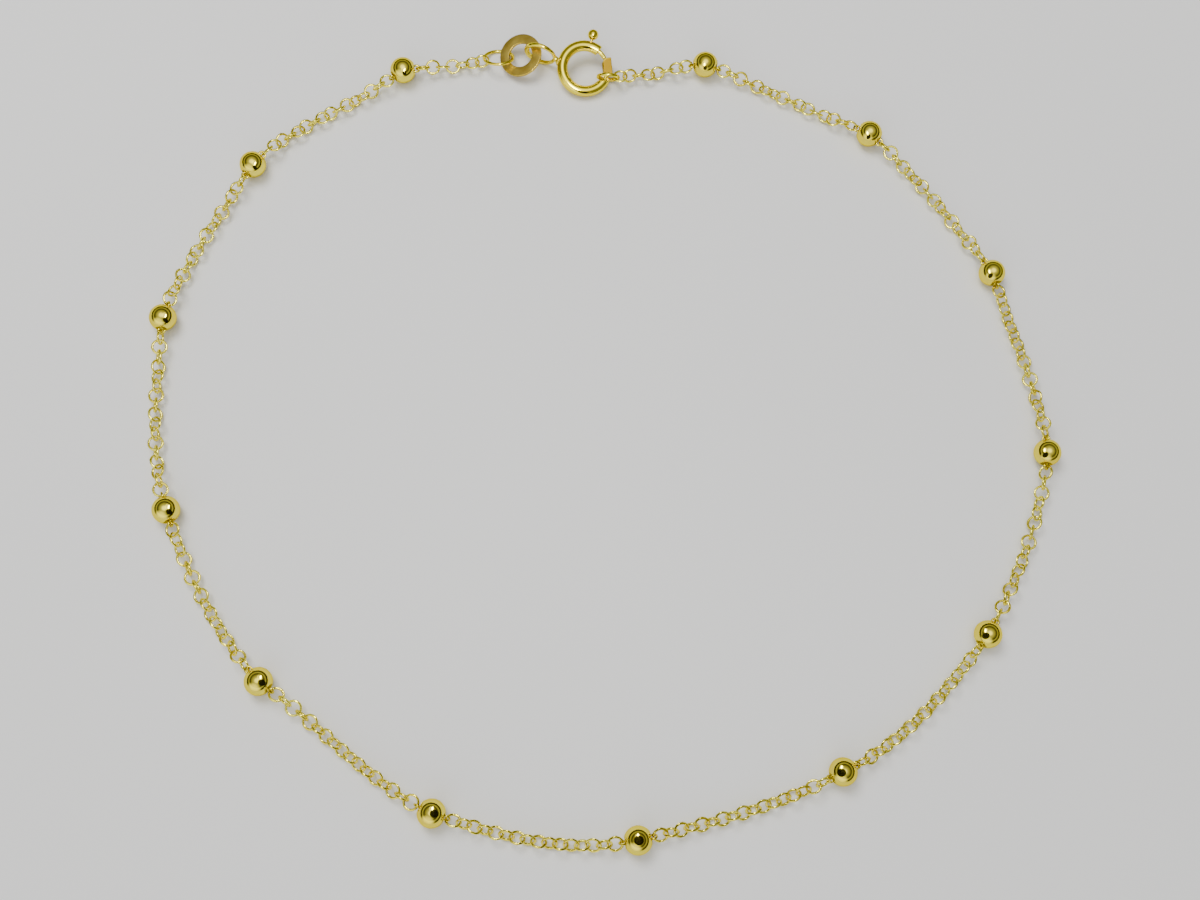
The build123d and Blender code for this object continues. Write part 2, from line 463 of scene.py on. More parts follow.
class Nodes:
    """Short ways to add nodes to one material or world."""

    def __init__(self, owner: bpy.types.ID) -> None:
        """Clear a node tree and keep it.

        Args:
            owner: The material or world that has the tree.
        """
        owner.use_nodes = True
        self.tree = owner.node_tree
        self.tree.nodes.clear()

    def add(self, kind: str, feeds: dict | None = None, **settings: object) -> bpy.types.Node:
        """Add a node and feed its inputs.

        Args:
            kind: The node's type name.
            feeds: For each input a socket, which is linked, or a plain value.
            **settings: Node properties.

        Returns:
            The new node.
        """
        node = self.tree.nodes.new(kind)
        for name, value in settings.items():
            setattr(node, name, value)
        for name, value in (feeds or {}).items():
            if isinstance(value, Socket):
                self.tree.links.new(value, node.inputs[name])
            else:
                node.inputs[name].default_value = value
        return node

    def output(self, shader: bpy.types.Node, kind: str = "ShaderNodeOutputMaterial") -> None:
        """Join a shader to the tree's output."""
        self.add(kind, {"Surface": shader.outputs[0]})

    def noise(self, vector: Socket, scale: float, detail: float, rough: float = 0.5) -> Socket:
        """Fractal noise of a vector, about 0.5 on average; rough is each finer octave's share."""
        feeds = {"Vector": vector, "Scale": scale, "Detail": detail, "Roughness": rough}
        return self.add("ShaderNodeTexNoise", feeds).outputs[0]

    def stretched(self, vector: Socket, scale: Triple) -> Socket:
        """Scale a vector by three factors."""
        return self.add("ShaderNodeMapping", {"Vector": vector, "Scale": scale}).outputs[0]

    def ranged(self, value: Socket, source: Pair, target: Pair) -> Socket:
        """Carry a value from one range to another, held at the ends."""
        ends = dict(zip(("From Min", "From Max", "To Min", "To Max"), (*source, *target)))
        return self.add("ShaderNodeMapRange", {"Value": value, **ends}, clamp=True).outputs[0]

    def math(self, operation: str, first: Socket, second: Socket | float) -> Socket:
        """Join two values by a sum, product or other operation."""
        return self.add("ShaderNodeMath", {0: first, 1: second}, operation=operation).outputs[0]

    def mix(self, share: Socket | float, first: Socket, second: Socket, **settings: object) -> Socket:
        """Join two colours, by default blended by the second's share."""
        feeds = {0: share, 6: first, 7: second}
        return self.add("ShaderNodeMix", feeds, data_type="RGBA", **settings).outputs[2]

    def ramp(self, value: Socket, stops: tuple[Pair, ...]) -> Socket:
        """Look up a grey on a ramp with soft steps.

        Args:
            value: Where it is read.
            stops: Places on the ramp, each with its grey.

        Returns:
            The grey's socket.
        """
        node = self.add("ShaderNodeValToRGB", {0: value})
        node.color_ramp.interpolation = "EASE"
        for at, _ in stops[1:-1]:
            node.color_ramp.elements.new(at)
        for element, (at, grey) in zip(node.color_ramp.elements, stops):
            element.position, element.color = at, (grey, grey, grey, 1.0)
        return node.outputs[0]

    def value(self, name: str) -> Socket:
        """Read a named per-point value of the mesh."""
        return self.add("ShaderNodeAttribute", attribute_name=name).outputs["Fac"]


NOISE_SPAN, DRIFT_SPAN = (0.3, 0.7), (0.35, 0.65)  # noise values that count as lowest and highest
ROUGH_SPAN = (0.02, 1.0)  # least and most roughness
SOFT, FINE = 3, 4  # octaves of a noise
GRITTY = 0.6  # share that each finer octave has of the one before


@dataclass(frozen=True)
class GoldFinish:
    """A worked gold surface.

    The colour drifts between two golds over millimetres and turns to a dark brown, a painted
    shade, where the point value "deep" is high: in sockets, bores, slots, on the eyes and inside
    rings. "tint" and "matte" push it to the warmer gold. The roughness drifts too, rises with
    "deep" and "matte", and falls where "rub" is high, which is where pieces wear on each other.
    Fine lines run along the surface's first UV direction, and a grain covers it all.
    """

    name: str  # the finish's name
    colour: Colour  # linear colour of clean metal
    warm: Colour  # linear colour that it drifts to
    roughness: Pair  # lowest and highest roughness
    rubbed: float  # roughness where pieces wear on each other
    line_height: float  # millimetres of relief in the drawn or brushed lines
    grain_height: float  # millimetres of relief in the grain
    grain_scale: float  # grains per millimetre
    drift_scale: float  # colour drifts per millimetre
    haze_scale: float = 3.0  # changes of roughness for each drift of the colour
    line_scale: Pair = (1.2, 14.0)  # lines per millimetre, along and across them
    shade_tone: Colour = (0.13, 0.08, 0.01)  # linear colour of the painted shade in hollows
    edge_tint: Colour = (0.95, 0.84, 0.3)  # linear tint of the metal seen at a slant
    drift_share: float = 0.8  # most that the drift gives of the warm colour
    hollow_haze: float = 0.35  # roughness that hollows add
    matte_haze: float = 0.28  # roughness that matte faces add

    def material(self) -> bpy.types.Material:
        """Build the finish's material once, and give it back each time.

        Returns:
            The material.
        """
        known = bpy.data.materials.get(self.name)
        if known is not None:
            return known
        material = bpy.data.materials.new(self.name)
        nodes = Nodes(material)
        per_metre = 1 / MM
        place = nodes.add("ShaderNodeTexCoord").outputs["Object"]
        surface = nodes.add("ShaderNodeUVMap", uv_map="Surface").outputs[0]
        deep, rub, tint, matte = (nodes.value(name) for name in ("deep", "rub", "tint", "matte"))

        drift = nodes.noise(place, self.drift_scale * per_metre, SOFT)
        drift = nodes.ranged(drift, DRIFT_SPAN, (0.0, self.drift_share))
        share = nodes.math("ADD", drift, nodes.math("ADD", tint, matte))
        clean = nodes.mix(share, (*self.colour, 1.0), (*self.warm, 1.0))

        haze = nodes.noise(place, self.drift_scale * self.haze_scale * per_metre, FINE, GRITTY)
        haze = nodes.ranged(haze, NOISE_SPAN, self.roughness)
        worn = nodes.math("MULTIPLY", rub, self.rubbed - self.roughness[0])
        hollows = nodes.math("MULTIPLY", deep, self.hollow_haze)
        clouded = nodes.math("ADD", hollows, nodes.math("MULTIPLY", matte, self.matte_haze))
        rough = nodes.math("ADD", nodes.math("ADD", haze, worn), clouded)

        lines = nodes.noise(nodes.stretched(surface, (*self.line_scale, 1.0)), 1.0, SOFT, GRITTY)
        grain = nodes.noise(place, self.grain_scale * per_metre, FINE, GRITTY)
        lines = nodes.math("MULTIPLY", lines, self.line_height)
        height = nodes.math("ADD", lines, nodes.math("MULTIPLY", grain, self.grain_height))
        relief = nodes.add("ShaderNodeBump", {"Height": height, "Distance": MM, "Strength": 1.0})
        shader = nodes.add(
            "ShaderNodeBsdfPrincipled",
            {
                "Metallic": 1.0,
                "Specular Tint": (*self.edge_tint, 1.0),
                # painted shade: the metal's colour turns dark brown where the per-point shade value is high
                "Base Color": nodes.mix(deep, clean, (*self.shade_tone, 1.0)),
                "Roughness": nodes.ranged(rough, ROUGH_SPAN, ROUGH_SPAN),
                "Normal": relief.outputs[0],
            },
        )
        nodes.output(shader)
        return material


BALL_FINISH = GoldFinish(
    name="polished_ball_gold", colour=(0.88, 0.76, 0.08), warm=(0.81, 0.64, 0.055),
    roughness=(0.06, 0.14), rubbed=0.05, line_height=0.0006, grain_height=0.0010, grain_scale=5.0,
    drift_scale=0.5,
)
LINK_FINISH = GoldFinish(
    name="drawn_wire_gold", colour=(0.97, 0.88, 0.12), warm=(0.90, 0.75, 0.07),
    roughness=(0.08, 0.18), rubbed=0.06, line_height=0.0012, line_scale=(1.5, 30.0),
    grain_height=0.0012, grain_scale=14.0, drift_scale=0.35,
)
CLASP_FINISH = GoldFinish(
    name="cast_clasp_gold", colour=(0.93, 0.79, 0.06), warm=(0.87, 0.67, 0.045),
    roughness=(0.06, 0.14), rubbed=0.08, line_height=0.0012, line_scale=(0.8, 16.0),
    grain_height=0.0014, grain_scale=9.0, drift_scale=0.6,
)
COLLAR_FINISH = GoldFinish(
    name="filed_collar_gold", colour=(0.86, 0.68, 0.05), warm=(0.38, 0.23, 0.012),
    roughness=(0.12, 0.22), rubbed=0.08, line_height=0.0020, grain_height=0.0030, grain_scale=10.0,
    drift_scale=0.6,
)
SATIN_FINISH = GoldFinish(
    name="satin_stamped_gold", colour=(0.66, 0.49, 0.09), warm=(0.50, 0.33, 0.04),
    roughness=(0.30, 0.44), rubbed=0.12, line_height=0.0060, grain_height=0.0050, grain_scale=12.0,
    drift_scale=0.9,
)


def dress(piece: bpy.types.Object, body: Body, slot: Slot, *nodes: str) -> None:
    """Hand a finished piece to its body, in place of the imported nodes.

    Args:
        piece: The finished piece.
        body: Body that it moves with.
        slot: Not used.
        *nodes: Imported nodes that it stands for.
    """
    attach(piece, body.value)
    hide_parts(*nodes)
    log.info("%s: %d faces for %s", piece.name, len(piece.data.polygons), ", ".join(nodes))


class Part:
    """A piece of the anklet: a skin in a finish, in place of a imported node."""

    node: str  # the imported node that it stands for
    name: str  # the piece's name
    body: ClassVar[Body] = Body.ANKLET  # body that it moves with
    slot: ClassVar[Slot] = Slot.CLASP  # the record's material slot for the piece
    finish: ClassVar[GoldFinish] = CLASP_FINISH  # its finish
    crease: ClassVar[float] = SHARP_ANGLE  # edges that turn more than this angle stay crisp

    def skin(self) -> Skin:
        """Work out the piece's surface."""
        raise NotImplementedError

    def build(self) -> bpy.types.Object:
        """Make and dress the piece.

        Returns:
            The piece.
        """
        piece = self.skin().piece(self.name, self.finish, self.crease)
        dress(piece, self.body, self.slot, self.node)
        return piece


# ---- Rings of wire ----

SOLDER_SPAN = 16.0  # degrees over which solder swells a wire
SOLDER_TINT = 0.25  # how much warmer solder looks
WORN_FROM, WORN_OVER = 0.55, 0.45  # squared cosine at which wear by neighbours starts, and its span
INNER_SHADE = 0.12  # painted shade on the inside of a ring, where its neighbours sit
PATTERN_STEP = 7.3  # millimetres between the marks of one ring and the next


def wire_rings(
    axes: list[Axes],
    radius: Array | float,
    wire: float,
    sides: Sides,
    seam: float = 180.0,
    swell: float = 0.0,
    pinch: Array | float = 0.0,
    tint: Array | float = 0.0,
    taper: float = 0.0,
) -> Skin:
    """Closed rings of round wire, each bent not quite truly and soldered at one place.

    With u once round the ring and v once round the wire, a point is
    (R(u) + r(u) cos v) along the ring's spoke, plus r(u) sin v along its axis. R(u) is
    radius + pinch cos 2u, and r(u) is half the wire, swollen by a bell at the seam.

    Args:
        axes: Place of each ring, with x towards a neighbour that it wears against.
        radius: Radius to the middle of each ring's wire.
        wire: Wire diameter.
        sides: Points round the ring, and round the wire.
        seam: Angle of the soldered seam.
        swell: Share by which the solder thickens the wire.
        pinch: Millimetres by which each ring is longer than it is wide.
        tint: Drift of each ring's colour.
        taper: Share by which the wire thins at the ring's x, and thickens across from it.

    Returns:
        One skin of all the rings.
    """
    radius, pinch, tint = (np.broadcast_to(part, len(axes)) for part in (radius, pinch, tint))
    u, v = circle(sides[0]), circle(sides[1])
    spoke_x, spoke_y = polar(u)
    across, above = polar(v)
    solder = bump((u - seam + 180) % 360 - 180, 0.0, SOLDER_SPAN)
    half_wire = (wire / 2 * (1 + swell * solder) * (1 - taper * spoke_x))[:, None]
    ring = radius[:, None] + pinch[:, None] * polar(2 * u)[0]
    reach = ring[:, :, None] + half_wire * across
    local = together(reach * spoke_x[:, None], reach * spoke_y[:, None], half_wire * above)
    origin = np.stack([a.origin for a in axes])
    turn = np.stack([np.stack([a.x, a.y, a.z]) for a in axes])
    points = origin[:, None, None] + np.einsum("nuvk,nkj->nuvj", local, turn)

    inside = np.clip(-across, 0, 1)
    wear = np.clip(spoke_x**2 - WORN_FROM, 0, 1)[:, None] / WORN_OVER * inside
    uv = arcs(np.radians(u) * radius[0], sides[1], wire / 2)
    # the inside of each ring gets painted shade, and wears where it meets its neighbour
    values = {"rub": wear, "deep": INNER_SHADE * inside}
    return Skin.joined([
        Skin.grid(
            points[n], uv + np.array([PATTERN_STEP * n, 0.0]), LOOP,
            tint=tint[n] + SOLDER_TINT * solder[:, None], **values,
        )
        for n in range(len(axes))
    ])


@dataclass
class Chain(Part):
    """One half of the chain: loose round links, each through its neighbours."""

    node: str
    name: str
    wire: float = 0.235  # wire diameter
    sides: Sides = (14, 5)  # points round a link, and round its wire
    seam: float = 84.0  # angle of the solder from the way the chain runs
    swell: float = 0.13  # share by which the solder thickens the wire
    pinch: float = 0.016  # most that a link is longer than wide
    seed: int = 11  # start of the draws that make the links unlike
    fits: list[RingFit] = field(init=False)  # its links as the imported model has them
    slot: ClassVar[Slot] = Slot.CHAIN
    finish: ClassVar[GoldFinish] = LINK_FINISH
    crease: ClassVar[float] = ALL_SMOOTH

    def __post_init__(self) -> None:
        """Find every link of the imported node."""
        self.fits = [RingFit.of(part) for part in loose_parts(self.node)]

    def skin(self) -> Skin:
        """Work out the links, each turned towards its nearest neighbour.

        Returns:
            One skin of all the links.
        """
        draws = np.random.default_rng(self.seed)
        centres = np.stack([fit.centre for fit in self.fits])
        apart = np.linalg.norm(centres[:, None] - centres[None], axis=-1)
        np.fill_diagonal(apart, np.inf)
        towards = centres[apart.argmin(axis=1)] - centres
        axes = [fit.axes(hint) for fit, hint in zip(self.fits, towards)]
        radius = np.array([fit.outer for fit in self.fits]) - self.wire / 2 - self.pinch / 2
        pinch = draws.uniform(-0.2, 1.0, len(axes)) * self.pinch
        tint = draws.uniform(-0.2, 0.35, len(axes))
        return wire_rings(axes, radius, self.wire, self.sides, self.seam, self.swell, pinch, tint)


@dataclass
class JumpRing(Part):
    """A single ring of wire with a butted and soldered seam."""

    node: str
    name: str
    seam: float  # angle of the seam
    sides: Sides = (96, 20)  # points round the ring, and round its wire
    swell: float = 0.05  # share by which the solder thickens the wire
    tint: float = 0.1  # drift of its colour

    def skin(self) -> Skin:
        """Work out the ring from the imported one.

        Returns:
            The ring's skin.
        """
        fit = RingFit.of_node(self.node)
        size = (fit.middle, fit.wire, self.sides)
        return wire_rings([fit.axes()], *size, self.seam, self.swell, tint=self.tint)


# ---- Balls ----


@dataclass
class Ball(Part):
    """A polished ball with a socket and a soldered eye at each end."""

    node: str
    name: str
    links: list[RingFit]  # the links in its two eyes
    wire: float = 0.2  # wire diameter of the eyes
    socket_radius: float = 0.5  # radius of each socket
    socket_floor: float = 1.0  # distance of a socket's floor from the ball's middle
    lip: float = 0.05  # rounding of a socket's mouth
    lip_rows: int = 5  # points on that rounding
    shade_rise: float = 3.0  # painted shade gained for each socket radius inwards from a mouth
    eye_radius: float = 0.31  # radius of an eye, to the middle of its wire
    eye_sides: Sides = (28, 10)  # points round an eye, and round its wire
    eye_swell: float = 0.1  # share by which an eye's solder thickens its wire
    eye_shade: float = 0.25  # painted shade over the eyes
    columns: int = 72  # points round the ball
    rows: int = 44  # angles from one mouth to the other
    slot: ClassVar[Slot] = Slot.BALL
    finish: ClassVar[GoldFinish] = BALL_FINISH

    def place(self) -> tuple[Array, float]:
        """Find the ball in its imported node.

        Returns:
            Its middle and its radius, which is half the height of the node's box.
        """
        low, high = packed_box(self.node)
        radius = (high[2] - low[2]) / 2
        points = np.concatenate(loose_parts(self.node))
        top = points[points[:, 2] > high[2] - TOP_SLACK].mean(axis=0)
        return top - radius * UP, radius

    def profile(self, radius: float) -> tuple[Array, Array, Array]:
        """Half section of the ball, from one socket's floor to the other's.

        It runs up the socket's wall, over the lip and the sphere, and down again.

        Args:
            radius: The ball's radius.

        Returns:
            (rows, 2) distances from the axis and along it, (rows,) shares of the way from mouth
            to mouth, and (rows,) painted shade, which is high in the sockets.
        """
        mouth = np.degrees(np.arcsin((self.socket_radius + self.lip) / radius))
        cosine, sine = polar(mouth)
        edge = radius * cosine
        corners = np.array([
            [0.0, self.socket_floor], [self.socket_radius, self.socket_floor],
            [self.socket_radius, edge], [radius * sine, edge],
        ])
        socket = filleted_profile(corners, np.array([0, self.lip, self.lip, 0]), self.lip_rows)
        over = spread(mouth, 180 - mouth, self.rows)[1:-1]
        sphere = together(radius * polar(over)[1], radius * polar(over)[0])
        profile = np.concatenate([socket, sphere, socket[::-1] * np.array([1, -1])])
        way = smooth_step((over - mouth) / (180 - 2 * mouth))
        share = np.concatenate([np.zeros(len(socket)), way, np.ones(len(socket))])
        # painted shade, rising from each mouth into its socket
        inside = (self.socket_radius + self.lip - profile[:, 0]) / self.socket_radius
        hollow = np.clip(inside * self.shade_rise, 0, 1)
        hollow[len(socket) - 1 : len(profile) - len(socket) + 1] = 0
        return profile, share, hollow

    def shell(self, centre: Array, radius: float, ends: Array) -> Skin:
        """Skin of the ball with both sockets.

        The half section is carried round an axis that swings smoothly from one socket's
        direction to the other's on the way over the sphere, where that swing leaves every point
        on the sphere.

        Args:
            centre: The ball's middle.
            radius: Its radius.
            ends: (2, 3) unit directions of the sockets.

        Returns:
            The shell.
        """
        profile, share, hollow = self.profile(radius)
        first, last = ends[0], -ends[1]
        between = np.arccos(np.clip(first @ last, -1, 1))
        if between < ALIGNED:
            axis = np.broadcast_to(first, (len(profile), 3))
        else:
            weight = together(np.sin((1 - share) * between), np.sin(share * between))
            axis = weight @ np.stack([first, last]) / np.sin(between)
        side = unit(np.cross(UP, axis))
        other = np.cross(axis, side)
        turn_x, turn_y = polar(circle(self.columns))
        spoke = side[:, None] * turn_x[:, None] + other[:, None] * turn_y[:, None]
        points = centre + profile[:, :1, None] * spoke + (profile[:, 1:] * axis)[:, None]
        return Skin.grid(points, arcs(path_length(profile), self.columns, radius), deep=hollow[:, None])

    def skin(self) -> Skin:
        """Work out the ball and its eyes.

        An eye's middle is where its link's wire comes nearest to the ball's middle, and the eye
        stands square to that wire.

        Returns:
            The ball's skin.
        """
        centre, radius = self.place()
        middles = np.stack([link.centre for link in self.links])
        normals = np.stack([link.normal for link in self.links])
        back = centre - middles
        back = back - np.sum(back * normals, axis=1, keepdims=True) * normals
        wires = middles + unit(back) * self.links[0].middle
        ends = unit(wires - centre)
        tangents = np.cross(normals, unit(middles - wires))
        axes = [Axes.along(*three) for three in zip(wires, tangents, ends)]
        eyes = wire_rings(axes, self.eye_radius, self.wire, self.eye_sides, swell=self.eye_swell)
        # painted shade over the whole of each eye
        eyes.values["deep"] = np.full(len(eyes.points), self.eye_shade)
        return Skin.joined([self.shell(centre, radius, ends), eyes])


def make_balls(chains: list[Chain], count: int) -> None:
    """Make every ball, aimed at the two links nearest to it.

    Args:
        chains: The chain's halves.
        count: Number of balls.
    """
    fits = [fit for chain in chains for fit in chain.fits]
    centres = np.stack([fit.centre for fit in fits])
    for number in range(1, count + 1):
        node = f"ball_{number:02d}"
        low, high = packed_box(node)
        nearest = np.argsort(np.linalg.norm(centres - (low + high) / 2, axis=1))[:2]
        Ball(node, f"polished_{node}", [fits[n] for n in nearest]).build()


# ---- Flat ring ----


@dataclass
class FlatRing(Part):
    """The ring stamped from sheet that the jump ring hooks into."""

    node: str = "flat_ring"
    name: str = "stamped_flat_ring"
    edge: float = 0.06  # rounding of its edges
    edge_rows: int = 6  # points on each rounded edge
    dish: float = 0.006  # how far its faces stand proud at the middle of the band
    columns: int = 144  # points once round
    shine_from: float = 0.86  # share of the band's half width at which its polished edge starts
    shine_over: float = 0.1  # share over which the polish comes up
    slot: ClassVar[Slot] = Slot.SATIN
    finish: ClassVar[GoldFinish] = SATIN_FINISH

    def skin(self) -> Skin:
        """Work out the ring.

        Its section is a rectangle with rounded corners whose long faces are very slightly proud
        in the middle, turned about the ring's axis.

        Returns:
            The ring's skin.
        """
        fit = RingFit.of_node(self.node)
        width, height = fit.wire / 2, fit.thickness / 2 - self.dish
        corners = np.array(
            [[0, height], [width, height], [width, -height], [-width, -height], [-width, height], [0, height]]
        )
        section = filleted_profile(corners, np.full(len(corners), self.edge), self.edge_rows)[:-1]
        across = section[:, 0] / width
        section[:, 1] += np.sign(section[:, 1]) * self.dish * (1 - across**2)
        angle = circle(self.columns)[:, None]
        spoke_x, spoke_y = polar(angle)
        reach = fit.middle + section[:, 0]
        points = together(reach * spoke_x, reach * spoke_y, section[:, 1])
        uv = together(np.radians(angle) * fit.middle, path_length(section))
        shine = np.clip((np.abs(across) - self.shine_from) / self.shine_over, 0, 1)
        return Skin.grid(fit.axes().place(points), uv, LOOP, rub=shine).flipped()


# ---- Spring ring clasp ----


@dataclass
class ClaspRing:
    """Sizes and directions that the clasp's tube, collar and bolt share.

    Local x, y and z are the ring's own: angles run from x towards y about the joint's axis.
    """

    radius: float = 2.25  # radius to the middle of the tube
    tube: float = 1.05  # tube diameter
    bore: float = 0.58  # bore diameter
    tube_end: float = 59.0  # angle of the open mouth
    bore_end: float = 200.0  # angle at which the bore is blind
    neck_gap: float = 0.66  # width of the gap that the neck bridges
    neck: float = 0.44  # diameter of the neck
    bolt_tip: float = 33.5  # angle of the bolt's tip
    bolt_tail: float = 128.0  # angle of its other end
    knob_angle: float = 84.0  # angle of the knob
    travel: float = 30.0  # turn that opens the clasp
    axes: Axes = field(init=False)  # its place and directions
    catch: RingFit = field(init=False)  # the catch ring, whose plane the neck's gap follows

    def __post_init__(self) -> None:
        """Read the ring's place and axis from the bolt's joint, and find the catch ring."""
        joint = frame["joints"][0]
        z = unit(np.array(joint["axis"]))
        y = unit(np.array([0.0, z[2], -z[1]]))
        self.axes = Axes(np.array(joint["pos_m"]) / MM, np.cross(y, z), y, z)
        self.catch = RingFit.of_node("catch_ring")

    @property
    def outer(self) -> float:
        """Radius of the tube's outside."""
        return self.tube / 2

    @property
    def inner(self) -> float:
        """Radius of its bore."""
        return self.bore / 2

    def spoke(self, angle: float) -> Array:
        """Direction from the ring's middle at an angle."""
        cosine, sine = polar(angle)
        return self.axes.x * cosine + self.axes.y * sine

    def bent(self, angle: Array | float, outward: Array | float = 0.0, above: Array | float = 0.0) -> Array:
        """Carry points along the ring's circle.

        Args:
            angle: Angles round the ring.
            outward: Distances outwards from the middle of the tube.
            above: Distances along the ring's axis.

        Returns:
            Points ((R + outward) cos angle, (R + outward) sin angle, above) in the row frame.
        """
        cosine, sine = polar(angle)
        reach = self.radius + outward
        return self.axes.place(together(reach * cosine, reach * sine, above))

    def cut_angle(self, outward: Array, above: Array, offset: Array | float) -> Array:
        """Angle at which lines along the ring meet a face of the neck's gap.

        The face is the catch ring's plane moved by an offset along its normal n. A point of the
        ring meets it where A cos a + B sin a = C / (R + outward), which is solved for a.

        Args:
            outward: Distances outwards from the middle of the tube.
            above: Distances along the ring's axis.
            offset: Distance of the face from the catch ring's plane, towards the tube's end.

        Returns:
            The angles, in degrees.
        """
        normal = -self.catch.normal
        level = offset - normal @ (self.axes.origin - self.catch.centre) - above * (normal @ self.axes.z)
        a, b = normal @ self.axes.x, normal @ self.axes.y
        size = np.hypot(a, b)
        swing = np.degrees(np.arccos(np.clip(level / (self.radius + outward) / size, -1, 1)))
        return np.degrees(np.arctan2(b, a)) + swing


@dataclass
class ClaspPart(Part):
    """A piece of the clasp, laid out on the clasp's ring."""

    ring: ClaspRing  # shared sizes of the clasp
    node: ClassVar[str] = "spring_ring"


def across_ring(radii: Array, count: int, closed: bool = False) -> tuple[Array, Array]:
    """Circles across the ring's tube.

    Args:
        radii: (rows,) radius of each circle.
        count: Steps once round.
        closed: Whether the last point repeats the first.

    Returns:
        (rows, points) distances outwards, radius cos v, and above, radius sin v.
    """
    v = 360 * spread(0, 1, count + 1) if closed else circle(count)
    across, above = polar(v)
    return radii[:, None] * across, radii[:, None] * above


@dataclass
class ClaspTube(ClaspPart):
    """The clasp's hollow tube, slotted for the knob's stem, with its mouth and neck."""

    lip: float = 0.09  # rounding of the tube's ends
    slot_width: float = 0.34  # width of the slot
    slot_margin: float = 5.0  # angle that the slot runs past the stem's travel
    columns: int = 48  # steps round the tube
    long_rows: int = 150  # even rows along the tube
    bore_rows: int = 60  # even rows along the bore
    slot_rows: int = 41  # rows along the slot
    slot_clear: float = 1.0  # least angle between them and the even rows
    side_rows: int = 5  # rows down the slot's sides
    side_radius: float = 2.0  # radius at which marks on them keep their length
    lip_rows: int = 6  # rows on a rounded lip
    slant_rows: int = 12  # rows in each of the two lengths at the neck's end
    neck_rows: int = 30  # rows along the neck
    neck_sides: int = 24  # points round the neck
    bore_shade: Pair = (0.3, 0.7)  # painted shade at the bore's mouth, and what is added further in
    shade_over: float = 25.0  # angle over which that painted shade is added
    side_shade: Pair = (0.2, 0.7)  # painted shade at the slot's outer edges, and what is added by the bore
    neck_rub: float = 0.7  # wear on the neck
    fade: float = 40.0  # angle over which the slanted end gives way to square rows
    plain_end: float = 290.0  # angle at which the evenly spaced rows end
    neck_sink: float = 4.0  # angle that the neck's bar runs into what it joins
    neck_flare: float = 0.14  # how much its ends swell
    flare_angle: float = 1.6  # angle over which they do
    flare_start: float = 1.0  # angle beyond the gap's faces from which the swelling is full
    name: ClassVar[str] = "clasp_tube"

    @property
    def slot_span(self) -> Pair:
        """Angles at which the slot starts and stops."""
        stem = self.ring.knob_angle
        return stem - self.slot_margin, stem + self.ring.travel + self.slot_margin

    @property
    def lip_angle(self) -> float:
        """Angle that the rounding of an end takes up."""
        return float(np.degrees(self.lip / self.ring.radius))

    def slot_half(self, angle: Array) -> Array:
        """Half width of the slot, W sqrt(1 - s^16): level, with rounded ends.

        Args:
            angle: Angles round the ring.

        Returns:
            The half widths, 0 outside the slot; s runs from -1 to 1 along it.
        """
        first, last = self.slot_span
        share = np.abs(2 * (angle - first) / (last - first) - 1)
        return self.slot_width / 2 * np.sqrt(np.clip(1 - share**16, 0, 1))

    def rows(self, first: float, last: float, count: int) -> Array:
        """Angles from one end to the other, with the slot's ends among them, set close there.

        Args:
            first: The first angle.
            last: The last angle.
            count: Even angles, before those near the slot give way.

        Returns:
            The angles, rising.
        """
        start, stop = self.slot_span
        close = (stop - start) / 2 * (1 - np.cos(spread(0, np.pi, self.slot_rows))) + start
        even = spread(first, last, count)
        even = even[(even < start - self.slot_clear) | (even > stop + self.slot_clear)]
        return np.sort(np.concatenate([even, close]))

    def wall(self, angle: Array, radius: float, deep: Array | float = 0.0) -> Skin:
        """A round wall along the tube, open where the slot is.

        At each angle the points run round the section from one side of the slot to the other, at
        outward = radius cos v, above = radius sin v, with v from v0 to 360 - v0 and
        sin v0 = half slot / radius.

        Args:
            angle: (rows,) angles along the ring.
            radius: Radius of the wall.
            deep: (rows,) painted shade.

        Returns:
            The wall, which looks outwards.
        """
        half = np.degrees(np.arcsin(self.slot_half(angle) / radius))[:, None]
        v = half + (360 - 2 * half) * spread(0, 1, self.columns + 1)
        across, above = polar(v)
        points = self.ring.bent(angle[:, None], radius * across, radius * above)
        uv = together(np.radians(angle)[:, None] * self.ring.radius, np.radians(v) * radius)
        return Skin.grid(points, uv, SHEET, deep=np.reshape(deep, (-1, 1)))

    def slot_sides(self) -> list[Skin]:
        """The slot's two flat sides, from the outside of the tube to its bore.

        Returns:
            The two sides.
        """
        angle = self.rows(*self.slot_span, 2)[:, None]
        half = self.slot_half(angle)
        share = spread(0, 1, self.side_rows)
        far, near = (np.sqrt(radius**2 - half**2) for radius in (self.ring.outer, self.ring.inner))
        outward = far + (near - far) * share
        uv = together(np.radians(angle) * self.side_radius, outward)
        # painted shade down the slot's sides, darker towards the bore
        deep = self.side_shade[0] + self.side_shade[1] * share
        over, under = (
            Skin.grid(self.ring.bent(angle, outward, side * half), uv, SHEET, deep=deep) for side in (1, -1)
        )
        return [over.flipped(), under]

    def cap(self, radii: Array, angle: Array, deep: Array | float = 0.0) -> Skin:
        """A surface of circles across the tube, such as an end face.

        Args:
            radii: (rows,) radii of the circles.
            angle: (rows,) angles round the ring.
            deep: (rows,) painted shade.

        Returns:
            The surface.
        """
        outward, above = across_ring(radii, self.columns, True)
        points = self.ring.bent(angle[:, None], outward, above)
        return Skin.grid(points, together(outward, above), SHEET, deep=np.reshape(deep, (-1, 1)))

